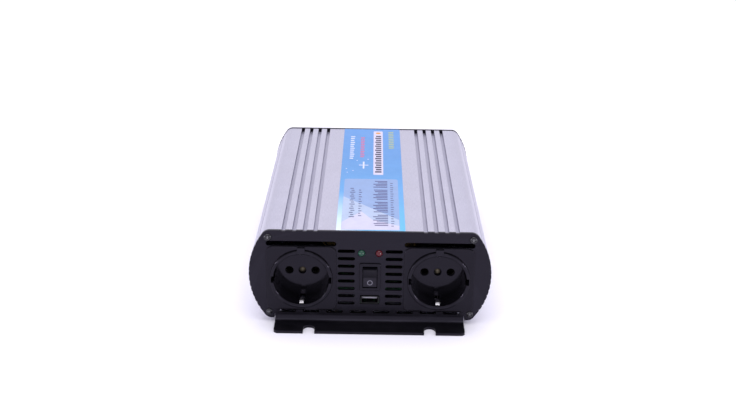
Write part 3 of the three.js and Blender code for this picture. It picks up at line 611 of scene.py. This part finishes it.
for level in ("lower", "upper"):
    z, head = cornerScrews[level]
    fanZ = fan["z"] + (fan["screw"] if level == "upper" else -fan["screw"])
    for sideName, side in (("left", -1), ("right", 1)):
        corner, node = level.title() + sideName.title(), f"_screw_{level}_{sideName}"
        made = moved(screwBody(9, head), side * cornerScrews["x"], 0, z)
        piece(made, "frontScrew" + corner, ["front" + node], atFront, mat["blackSteel"])
        made = moved(screwBody(9, head), -side * cornerScrews["x"], 0, z)
        piece(made, "rearScrew" + corner, ["rear" + node], atRear, mat["blackSteel"])
        made = moved(screwBody(18, 3, 1.7), -side * fan["screw"], -1.3, fanZ)
        piece(made, "fanScrew" + corner, ["fan" + node], atRear, mat["zincSteel"])
print("screws made")

# mains sockets


def socketMoulding():
    collarRadius, proud, back = socket["collarRadius"], socket["collarProud"], socket["back"]
    turns = [math.radians(15 * i) for i in range(7)]
    curve = socket["shoulder"]
    collar = [(0, -proud)]
    collar += [(collarRadius - curve * (1 - math.sin(a)), curve * (1 - math.cos(a)) - proud) for a in turns]
    collar += [(collarRadius, 0), (collarRadius - 0.1, 0), (collarRadius - 0.1, back), (0, back)]
    body = turned(collar, 128)
    outline = roundedBox(socket["plate"], socket["plate"], socket["corner"])
    plate = softened(prism(outline, "Y", -socket["plateProud"], 1.4), 0.35, 3)
    half, low, high = socket["lug"]
    lug = softened(block(-half, half, -proud, 0.5, low, high), 0.3)
    join(body, cut(plate, rod(collarRadius - 4, 0, 0, -3, 3, 64)), lug)
    recessRadius, floor = socket["recessRadius"], socket["floor"]
    wide, deep = socket["rim"]
    recess = [(0, floor), (recessRadius, floor)]
    recess += [(recessRadius + wide * (1 - math.cos(a)), deep * (1 - math.sin(a)) - proud) for a in turns]
    recess += [(recessRadius + wide, -proud - 1), (0, -proud - 1)]
    cut(body, turned(recess, 128))
    hole, pin, end = socket["pinHole"], socket["pin"], back + 1
    mouth = [(0, -2), (hole + 0.5, -2), (hole + 0.5, floor), (hole, floor + 0.5), (hole, end), (0, end)]
    wide, deep = socket["seat"], floor + socket["seatDepth"]
    seat = [(0, 0), (wide, 0), (wide, deep), (1.8, deep), (1.8, end), (0, end)]
    holes = [moved(turned(mouth, 48), -pin), moved(turned(mouth, 48), pin), turned(seat, 48)]
    half, low, high = socket["notch"]
    notches = [block(low, high, -4, floor, -half, half), block(-high, -low, -4, floor, -half, half)]
    half, low, high = socket["groove"]
    grooves = [block(-half, half, -half, end, low, high), block(-half, half, -half, end, -high, -low)]
    cut(body, gathered(*holes), gathered(*notches), gathered(*grooves))
    return softened(body, socket["edge"], 2, 45, ridges=True)


def roundedPath(points, radius, steps=5):  # corners of a path turned into small arcs
    made = [Vector(points[0])]
    for before, here, after in zip(points, points[1:], points[2:]):
        before, here, after = Vector(before), Vector(here), Vector(after)
        reach = min(radius, (here - before).length * 0.45, (after - here).length * 0.45)
        start = here + (before - here).normalized() * reach
        end = here + (after - here).normalized() * reach
        for i in range(steps + 1):
            t = i / steps
            made.append(start * (1 - t) ** 2 + here * 2 * t * (1 - t) + end * t ** 2)
    return made + [Vector(points[-1])]


def stripOutline(path, thickness):
    left, right = [], []
    for i, point in enumerate(path):
        along = (path[min(i + 1, len(path) - 1)] - path[max(i - 1, 0)]).normalized()
        normal = Vector((-along.y, along.x)) * thickness / 2
        left.append(tuple(point + normal))
        right.append(tuple(point - normal))
    return right + left[::-1]


def earthStrap():
    arm = strap["path"] + [(socket["back"] + strap["tail"], strap["path"][-1][1])]
    path = roundedPath([(y, -z) for y, z in arm] + arm[::-1], strap["turn"])
    return softened(prism(stripOutline(path, strap["thick"]), "X", -strap["half"], strap["half"]), 0.12)


def contactSleeve():
    front, outside, bore = socket["floor"] + 1.8, socket["sleeve"], socket["bore"]
    profile = [(0, front + 7.6), (bore, front + 7.6), (bore, front + 0.4), (bore + 0.3, front)]
    profile += [(outside - 0.2, front), (outside, front + 0.2), (outside, front + 8.6)]
    profile += [(outside - 0.2, front + 8.8), (1.5, front + 8.8), (1.5, front + 12), (0, front + 12)]
    return cut(turned(profile, 48), block(-0.2, 0.2, front - 1, front + 7, -4, 4))


for sideName, side in (("left", -1), ("right", 1)):
    x, z = side * socket["x"], socket["z"]
    made = moved(socketMoulding(), x, 0, z)
    piece(made, sideName + "Socket", [sideName + "_socket"], atFront, mat["blackPlastic"])
    made = moved(earthStrap(), x, 0, z)
    piece(made, sideName + "EarthStrap", [sideName + "_earth_strap"], atFront, mat["springSteel"])
    made = moved(screwBody(6, 2.4), x, socket["floor"] + socket["seatDepth"], z)
    piece(made, sideName + "SocketScrew", [sideName + "_socket_screw"], atFront, mat["oldBrass"])
    for pole, shift in (("live", -socket["pin"]), ("neutral", socket["pin"])):
        made = moved(contactSleeve(), x + shift, 0, z)
        name = sideName + pole.title() + "Sleeve"
        # the sleeves take the brass with painted shade
        piece(made, name, [f"{sideName}_{pole}_sleeve"], atFront, mat["contactBrassPaintedShade"])
print("sockets made")

# lamps, switch and USB outlet


def lampBody():
    r, proud = lamp["radius"], lamp["proud"]
    angles = [math.pi / 20 * i for i in range(1, 10)]
    profile = [(0, -proud)] + [(r * math.sin(a), 0.3 - (proud + 0.3) * math.cos(a)) for a in angles]
    profile += [(r, 0.3), (r, 2.1), (r + 0.4, 2.1), (r + 0.5, 2.2), (r + 0.5, 3.2), (0, 3.2)]
    half = lamp["legHalf"]
    legs = [block(x - half, x + half, 3, 15, -half, half) for x in (-lamp["legs"], lamp["legs"])]
    return join(turned(profile, 48), gathered(*legs))


for name, side in (("green", -1), ("red", 1)):
    made = moved(lampBody(), side * lamp["x"], 0, lamp["z"])
    piece(made, name + "Lamp", [name + "_lamp"], atFront, mat[name + "Lens"])

rocker = {"width": 10.2, "halfLength": 7.5, "tilt": 10, "pivotY": 2.85, "pivotDepth": 3.5, "axle": 1.2}
mark = {"z": 32.4, "outer": 1.9, "inner": 1.5, "bar": 3.0, "barWidth": 0.5, "proud": 0.03, "sunk": 0.05}


def switchHousing():
    bezel = prism(roundedBox(switch["width"], switch["height"], 1), "Y", -switch["proud"], 0)
    softened(bezel, 0.35, 3)
    deep = switch["bodyDepth"]
    body = prism(roundedBox(switch["bodyWidth"], switch["bodyHeight"], 0.4), "Y", -0.5, deep)
    tabs = gathered(*[block(-2.4, 2.4, deep - 0.5, deep + 5, z - 0.4, z + 0.4) for z in switch["tabs"]])
    join(bezel, body, tabs)
    mouth = prism(roundedBox(switch["openWidth"], switch["openHeight"], 0.5), "Y", -3, 9.5)
    bearing = prism(circle(1.6, rocker["pivotY"], 0, 24), "X", -7, 7)
    cut(bezel, mouth, bearing)
    return softened(bezel, 0.15)


def rockerBody():
    slope, depth, half = math.radians(rocker["tilt"]), rocker["pivotDepth"], rocker["width"] / 2
    endY, endZ = -depth - rocker["halfLength"] * math.sin(slope), rocker["halfLength"] * math.cos(slope)
    outline = [(-depth, 0), (endY, -endZ), (-0.8, -endZ), (2.2, -4.2), (3, 0)]
    outline += [(2.2, 4.2), (-0.8, endZ), (endY, endZ)]
    body = softened(prism(outline, "X", -half, half), 0.45, 3, 8)
    join(body, prism(circle(rocker["axle"], 0, 0, 24), "X", -half - 1, half + 1))
    return moved(body, 0, rocker["pivotY"], switch["z"], rocker["tilt"])


made = moved(switchHousing(), 0, 0, switch["z"])
piece(made, "switchHousing", ["switch_housing"], atFront, mat["blackPlastic"])
piece(rockerBody(), "rockerKey", ["rocker"], atFront, mat["darkPlastic"])
lowerFace = rocker["pivotY"] - rocker["pivotDepth"] * math.cos(math.radians(rocker["tilt"]))
inner, outer, proud, sunk = mark["inner"], mark["outer"], mark["proud"], mark["sunk"]
made = turned([(inner, sunk), (inner, -proud), (outer, -proud), (outer, sunk), (inner, sunk)], 64)
mat["markWhite"] = ink("markWhite", (0.2, 0.195, 0.24))
moved(made, 0, lowerFace, mark["z"])
piece(made, "rockerRing", [], atFront, mat["markWhite"], "rocker")
half, long = mark["barWidth"] / 2, mark["bar"] / 2
made = moved(block(-half, half, -proud, sunk, -long, long), 0, 0, 0, 2 * rocker["tilt"])
moved(made, 0, lowerFace - 1.35, switch["z"] + 3.1)
piece(made, "rockerBar", [], atFront, mat["darkPlastic"], "rocker")


def usbShell():
    width, height, walls, back = usb["width"], usb["height"], 2 * usb["steel"], usb["depth"]
    body = prism(roundedBox(width, height, 0.8), "Y", -0.3, back)
    cut(body, prism(roundedBox(width - walls, height - walls, 0.5), "Y", -2, back - 1))
    windows = [block(x - 0.9, x + 0.9, 3.2, 7.4, -4, 4) for x in (-3.2, 3.2)]
    return softened(cut(body, gathered(*windows)), 0.08)


# the shell's dark tones are partly painted shade inside the mouth
piece(moved(usbShell(), 0, 0, usb["z"]), "usbShell", ["usb_shell"], atFront, mat["usbSteelAndShade"])
tongue = softened(block(-5.4, 5.4, 1.2, 12.2, 0.5, 2.1), 0.2)
# the tongue's grey is painted shade on white plastic
piece(moved(tongue, 0, 0, usb["z"]), "usbTongue", ["usb_tongue"], atFront, mat["lightPlastic"])
strips = [softened(block(x - 0.5, x + 0.5, 1.6, 11, 0.42, 0.52), 0.03) for x in (-3.6, -1.2, 1.2, 3.6)]
made = moved(gathered(*strips), 0, 0, usb["z"])
# the USB contacts take the brass with painted shade
piece(made, "usbContacts", [], atFront, mat["contactBrassPaintedShade"], "case")
print("switch, lamps and USB outlet made")

# fan


def bladeBody(angle):  # a thin twisted blade, thicker at its root
    stations, chordSteps, long = blade["stations"], blade["chordSteps"], blade["length"]
    corners, faces = [], []
    for i in range(stations):
        share = i / (stations - 1)
        r = fan["hub"] - 1 + (fan["tip"] - fan["hub"] + 1) * share
        pitch = math.radians(blade["rootPitch"] - (blade["rootPitch"] - blade["tipPitch"]) * share)
        thick = blade["rootThick"] - (blade["rootThick"] - blade["tipThick"]) * share
        for face in (1, -1):
            for k in range(chordSteps):
                t = k / (chordSteps - 1) if face > 0 else 1 - k / (chordSteps - 1)
                across = (t - 0.5) * long / math.tan(pitch) + blade["camber"] * math.sin(math.pi * t)
                across += face * thick / 2 * math.sin(math.pi * (0.08 + 0.84 * t)) ** 0.5
                a = across / r
                corners.append((r * math.cos(a), blade["front"] + long * t, -r * math.sin(a)))
    count = 2 * chordSteps
    for i in range(stations - 1):
        for k in range(count):
            n = (k + 1) % count
            faces.append((i * count + k, i * count + n, (i + 1) * count + n, (i + 1) * count + k))
    faces += [tuple(range(count)), tuple(reversed(range((stations - 1) * count, stations * count)))]
    return moved(solidFrom(corners, faces), angle=angle, axis="Y")


def fanFrame():
    size, depth, bore, screw = fan["size"], fan["depth"], fan["bore"], fan["screw"]
    body = softened(prism(roundedBox(size, size, 4), "Y", 0, depth), 0.5, 3)
    lip = bore + 0.6
    mouth = [(0, -1), (lip, -1), (lip, 0), (bore, 0.8), (bore, depth - 0.8), (lip, depth), (lip, depth + 1)]
    cut(body, turned(mouth + [(0, depth + 1)], 128))
    hub, plate = fan["hub"] - 1, depth - 3
    axle = [(0, depth - 12), (2.3, depth - 12), (2.5, depth - 11.8), (2.5, plate), (hub - 0.4, plate)]
    axle += [(hub, depth - 2.6), (hub, depth - 0.3), (hub - 0.3, depth), (0, depth)]
    reach = bore + 1
    struts = [moved(block(-reach, reach, plate, depth, -1.2, 1.2), angle=a, axis="Y") for a in (45, 135)]
    join(body, turned(axle, 72), *struts)
    spots = [(sx * screw, sz * screw) for sx in (-1, 1) for sz in (-1, 1)]
    cut(body, gathered(*[rod(fan["screwHole"], x, z, -1, depth + 1, 24) for x, z in spots]))
    return softened(body, 0.15)


def fanRotor():
    hub, low, high, axleEnd = fan["hub"], 1.2, fan["depth"] - 3.6, fan["depth"] - 13
    profile = [(0, low), (hub - 1.2, low), (hub - 0.3, low + 0.4), (hub, low + 1.2), (hub, high - 0.3)]
    profile += [(hub - 0.3, high), (2.9, high), (2.9, axleEnd), (0, axleEnd)]
    body = turned(profile, 96)
    return join(body, *[bladeBody(360 / fan["blades"] * i) for i in range(fan["blades"])])


def fanGuard():
    wire = fan["wire"]
    ringY = -2 * wire - 0.9
    rings = []
    for radius in fan["rings"]:
        loop = circle(wire, radius, ringY, 12)
        rings.append(turned(loop + loop[:1], 96))
    reach = fan["screw"] * math.sqrt(2) - 3.2
    section = circle(wire, -wire - 0.3, 0, 16)
    bars = [moved(prism(section, "X", -reach, reach), angle=a, axis="Y") for a in (45, 135)]
    body = join(gathered(*rings), *bars)
    for x in (-fan["screw"], fan["screw"]):
        for z in (-fan["screw"], fan["screw"]):
            eye = rod(fan["eye"], x, z, -1.3, -0.3, 32)
            join(body, cut(eye, rod(fan["screwHole"], x, z, -2, 1, 24)))
    return body


piece(moved(fanFrame(), 0, panel["sheet"], fan["z"]), "fanFrame", ["fan_frame"], atRear, mat["blackPlastic"])
piece(moved(fanRotor(), 0, panel["sheet"], fan["z"]), "fanRotor", ["fan_rotor"], atRear, mat["darkPlastic"])
piece(moved(fanGuard(), 0, 0, fan["z"]), "fanGuard", ["fan_guard"], atRear, mat["zincSteel"])
print("fan made")

# battery terminals


def terminalInsulator():
    sheet, stud = panel["sheet"], terminal["stud"]
    top = -terminal["proud"]
    profile = [(0, top), (10.2, top), (10.75, top + 0.25), (11, top + 0.8), (11, -0.2), (10.8, 0), (6.7, 0)]
    body = turned(profile + [(6.7, sheet + 2.5), (0, sheet + 2.5)], 72)
    return cut(body, rod(stud + 0.3, 0, 0, -5, 10, 48))


def terminalStud():
    sheet, r = panel["sheet"], terminal["stud"]
    profile = [(0, -14.6), (r - 0.8, -14.6), (r, -13.8)]
    for i in range(terminal["threads"]):  # rings stand for the thread
        y = -13.4 + i * terminal["thread"]
        profile += [(r, y), (r - 0.45, y + 0.45), (r - 0.45, y + 0.6), (r, y + 1.05)]
    profile += [(r, sheet + 2.8), (7, sheet + 2.8), (7, sheet + 8), (r, sheet + 8)]  # the nut inside
    return turned(profile + [(r, 16.6), (r - 0.4, 17), (0, 17)], 64)


def terminalWasher():
    inside, r = terminal["stud"] + 0.4, terminal["washer"]
    edge = [(inside, -1.2), (r - 0.2, -1.2), (r, -1), (r, -0.2), (r - 0.2, 0), (inside, 0), (inside, -1.2)]
    return turned(edge, 72)


def terminalKnob():
    outline, flute = [], terminal["fluteDepth"]
    for i in range(160):
        a = 2 * math.pi * i / 160
        r = terminal["knob"] - flute + flute * math.cos(terminal["flutes"] * a)
        outline.append((r * math.cos(a), r * math.sin(a)))
    grip = softened(prism(outline, "Y", -11, -2.5), 0.5, 3)
    ends = [(0, -12), (6.4, -12), (7.1, -11.8), (7.6, -11.2), (7.6, -5)]
    ends += [(8.2, -3.2), (8.6, -2.6), (8.6, -0.3), (8.3, 0), (0, 0)]
    join(grip, turned(ends, 72))
    return cut(grip, rod(terminal["stud"] + 0.5, 0, 0, -10.6, 1, 48))


for name, side in (("red", -1), ("black", 1)):
    x, z = side * terminal["x"], terminal["z"]
    plastic = mat["redPlastic"] if name == "red" else mat["blackPlastic"]
    piece(moved(terminalInsulator(), x, 0, z), name + "Insulator", [name + "_insulator"], atRear, plastic)
    piece(moved(terminalStud(), x, 0, z), name + "Stud", [name + "_stud"], atRear, mat["brass"])
    made = moved(terminalWasher(), x, -terminal["proud"], z)
    piece(made, name + "Washer", [name + "_washer"], atRear, mat["zincSteel"])
    piece(moved(terminalKnob(), x, -4.7, z), name + "Knob", [name + "_knob"], atRear, plastic)
print("terminals made")

# label: x from the middle, y from the front panel's outer face

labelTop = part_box("label")[1].z / mm
label = {"half": 24.5, "thick": 0.2, "print": 0.03, "sunk": 0.05}
inks = {  # colour, layer
    "paper": ((0.23, 0.33, 0.55), 1), "paperFront": ((0.38, 0.46, 0.62), 2),
    "blush": ((0.52, 0.515, 0.66), 3), "stripWhite": ((0.56, 0.53, 0.66), 1),
    "violet": ((0.07, 0.06, 0.17), 4), "dark": ((0.1, 0.11, 0.22), 4),
    "stripDark": ((0.03, 0.03, 0.07), 2), "rose": ((0.5, 0.13, 0.26), 2), "white": ((0.6, 0.62, 0.75), 2),
    "lime": ((0.33, 0.4, 0.22), 2), "orange": ((0.6, 0.26, 0.06), 3),
}
for name, (colour, layer) in inks.items():
    mat[name] = ink(name, colour)


def printed(name, colour, outlines):  # one thin piece for all areas of one colour
    layer = inks[colour][1]
    top = labelTop + label["print"] * layer
    placed = [[(x, frontFace + y) for x, y in outline] for outline in outlines]
    areas = gathered(*[prism(outline, "Z", labelTop - label["sunk"], top) for outline in placed])
    piece(areas, name, [], upright, mat[colour], "case")


def area(x0, x1, y0, y1, corner=0.4):
    corner = min(corner, (x1 - x0) * 0.45, (y1 - y0) * 0.45)
    return roundedBox(x1 - x0, y1 - y0, corner, (x0 + x1) / 2, (y0 + y1) / 2, 4)


def slanted(x0, x1, y0, y1, lean=1.2):
    return [(x0, y0), (x1, y0 + lean), (x1, y1 + lean), (x0, y1)]


outline = area(-label["half"], label["half"], -case["halfLength"], case["halfLength"], 0.5)
made = prism(outline, "Z", labelTop - label["thick"], labelTop)
piece(softened(made, 0.06), "labelFilm", ["label"], upright, mat["film"])
printed("labelPanel", "paper", [roundedBox(41.8, 100.2, 2.5, -0.2, 53.4)])
printed("labelPanelFront", "paperFront", [[(-21, 3.4), (20.4, 3.4), (20.4, 22), (-21, 66)]])
printed("labelBlush", "blush", [[(-21, 3.5), (20.3, 3.5), (20.3, 11), (1, 22), (-7, 37), (-21, 17)]])
printed("labelStrip", "stripWhite", [area(1.4, 9.4, 113, 222, 1.2)])
lengths = (9.6, 10.4, 8.2, 10.8, 9.0, 10.8, 7.4)
bars = [area(12.4 - lengths[i % 7], 12.4, 11 + i * 3.1, 12.3 + i * 3.1, 0.2) for i in range(29) if i % 8 != 7]
printed("labelBars", "violet", bars)
marks = [area(14.6, 16.4 + (i % 3) * 0.3, 10 + i * 4.4, 11.2 + i * 4.4, 0.2) for i in range(20)]
marks += [area(-16.2 + (i % 2), -12.2 - (i % 3) * 0.6, 26 + i * 4, 27.5 + i * 4, 0.3) for i in range(15)]
marks += [area(-9.4, -7 - (i % 2) * 0.8, 28 + i * 4.6, 29.4 + i * 4.6, 0.2) for i in range(12)]
printed("labelMarks", "dark", marks)
stripBars = [area(2.8 + (i % 2) * 0.7, 8, 118 + i * 5.2, 121.2 + i * 5.2, 0.3) for i in range(18)]
printed("labelStripBars", "stripDark", stripBars)
printed("labelDot", "orange", [circle(2.2, 5.4, 216.5, 32)])
roses = [area(-9.6, -6.6 + (i % 2) * 0.5, 154 + i * 4.4, 156.4 + i * 4.4, 0.4) for i in range(12)]
printed("labelRose", "rose", roses)
whites = [area(-18.4, -15.4 + (i % 3) * 0.4, 150 + i * 5, 152.2 + i * 5, 0.3) for i in range(12)]
whites += [area(-10.4, -2.7, 134.2, 135.6, 0.3)]  # the cross
whites += [area(-7.2, -5.9, 127, 134.1, 0.3), area(-7.2, -5.9, 135.7, 143, 0.3)]
whites += [circle(0.6, x, y, 12) for x, y in ((-19.5, 118), (-15, 122), (-20.4, 126), (-3, 149), (-12, 146))]
printed("labelWhites", "white", whites)
limes = [slanted(14.4, 18.8, 176 + i * 4.6, 178.4 + i * 4.6, 1.2) for i in range(10)]
printed("labelLime", "lime", limes)
print("label made")

# pieces inside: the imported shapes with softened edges

inside = {
    "base_plate": ("silver", 0.3), "main_board": ("boardGreen", 0.15), "usb_board": ("boardGreen", 0.15),
    "left_transformer_core": ("ferrite", 0.5), "right_transformer_core": ("ferrite", 0.5),
    "left_transformer_coil": ("tape", 0.4), "right_transformer_coil": ("tape", 0.4),
    "left_heat_bar": ("heatAluminium", 0.3), "right_heat_bar": ("heatAluminium", 0.3),
    "left_transistors": ("darkPlastic", 0.25), "right_transistors": ("darkPlastic", 0.25),
    "left_capacitor": ("capSleeve", 0.2), "right_capacitor": ("capSleeve", 0.2),
    "red_battery_lead": ("redLead", 0.1), "black_battery_lead": ("blackLead", 0.1),
    "live_lead": ("redLead", 0.1), "neutral_lead": ("blackLead", 0.1),
}
for name, (finishName, width) in inside.items():
    node = nodes[name]
    weld = node.modifiers.new("weld", "WELD")
    weld.merge_threshold = 0.005 * mm
    flat = node.modifiers.new("flat", "DECIMATE")
    flat.decimate_type = "DISSOLVE"
    flat.angle_limit = math.radians(1)
    soft = node.modifiers.new("soft", "BEVEL")
    soft.width = width * mm
    soft.segments = 2
    soft.limit_method = "ANGLE"
    soft.angle_limit = math.radians(40)
    node.data.materials.clear()
    node.data.materials.append(mat[finishName])
print("inside pieces dressed:", len(inside))

# floor, light and camera

studio = {
    "floor": (0.86, 0.85, 0.9), "sky": (0.93, 0.915, 1.0), "skyStrength": 1.05,
    "light": (0.97, 0.95, 1.0),
    "lights": [  # place in metres, size, watts
        ((0.0, 0.1, 1.6), 1.6, 16.0), ((-0.85, -0.7, 0.14), 0.14, 2.6), ((0.85, -0.7, 0.14), 0.14, 2.6),
    ],
}
bpy.ops.mesh.primitive_plane_add(size=8, location=(0, 0, 0))
floor = bpy.context.object
floor.name = "floor"
floor.data.materials.append(finish("floorPaper", {
    "tones": (tuple(c * 0.98 for c in studio["floor"]), studio["floor"]), "rough": (0.8, 0.9),
    "patch": 90, "grain": 2, "depth": 0.01, "gloss": 0.2,
}))

world = bpy.data.worlds.new("softRoom")
world.use_nodes = True
world.node_tree.nodes["Background"].inputs["Color"].default_value = rgba(studio["sky"])
world.node_tree.nodes["Background"].inputs["Strength"].default_value = studio["skyStrength"]
scene.world = world
for index, (place, size, watts) in enumerate(studio["lights"]):
    lamplight = bpy.data.lights.new("soft" + str(index), "AREA")
    lamplight.size = size
    lamplight.energy = watts
    lamplight.color = studio["light"]
    holder = bpy.data.objects.new("soft" + str(index), lamplight)
    holder.location = place
    holder.rotation_euler = (Vector((0, 0, 0.04)) - Vector(place)).to_track_quat("-Z", "Y").to_euler()
    scene.collection.objects.link(holder)
scene.view_settings.view_transform = "Standard"

lens = {"focal": 52.92, "sensor": 36, "place": (-0.00036, -0.80947, 0.37837), "pan": 0.147, "tilt": 67.507,
        "roll": 0.834}
camera = bpy.data.cameras.new("camera")
camera.lens = lens["focal"]
camera.sensor_width = lens["sensor"]
camera.clip_start = 0.01
holder = bpy.data.objects.new("camera", camera)
aim = Matrix.Rotation(math.radians(lens["pan"]), 4, "Z") @ Matrix.Rotation(math.radians(lens["tilt"]), 4, "X")
aim = aim @ Matrix.Rotation(math.radians(lens["roll"]), 4, "Z")
holder.matrix_world = Matrix.Translation(lens["place"]) @ aim
scene.collection.objects.link(holder)
scene.camera = holder
print("studio made")
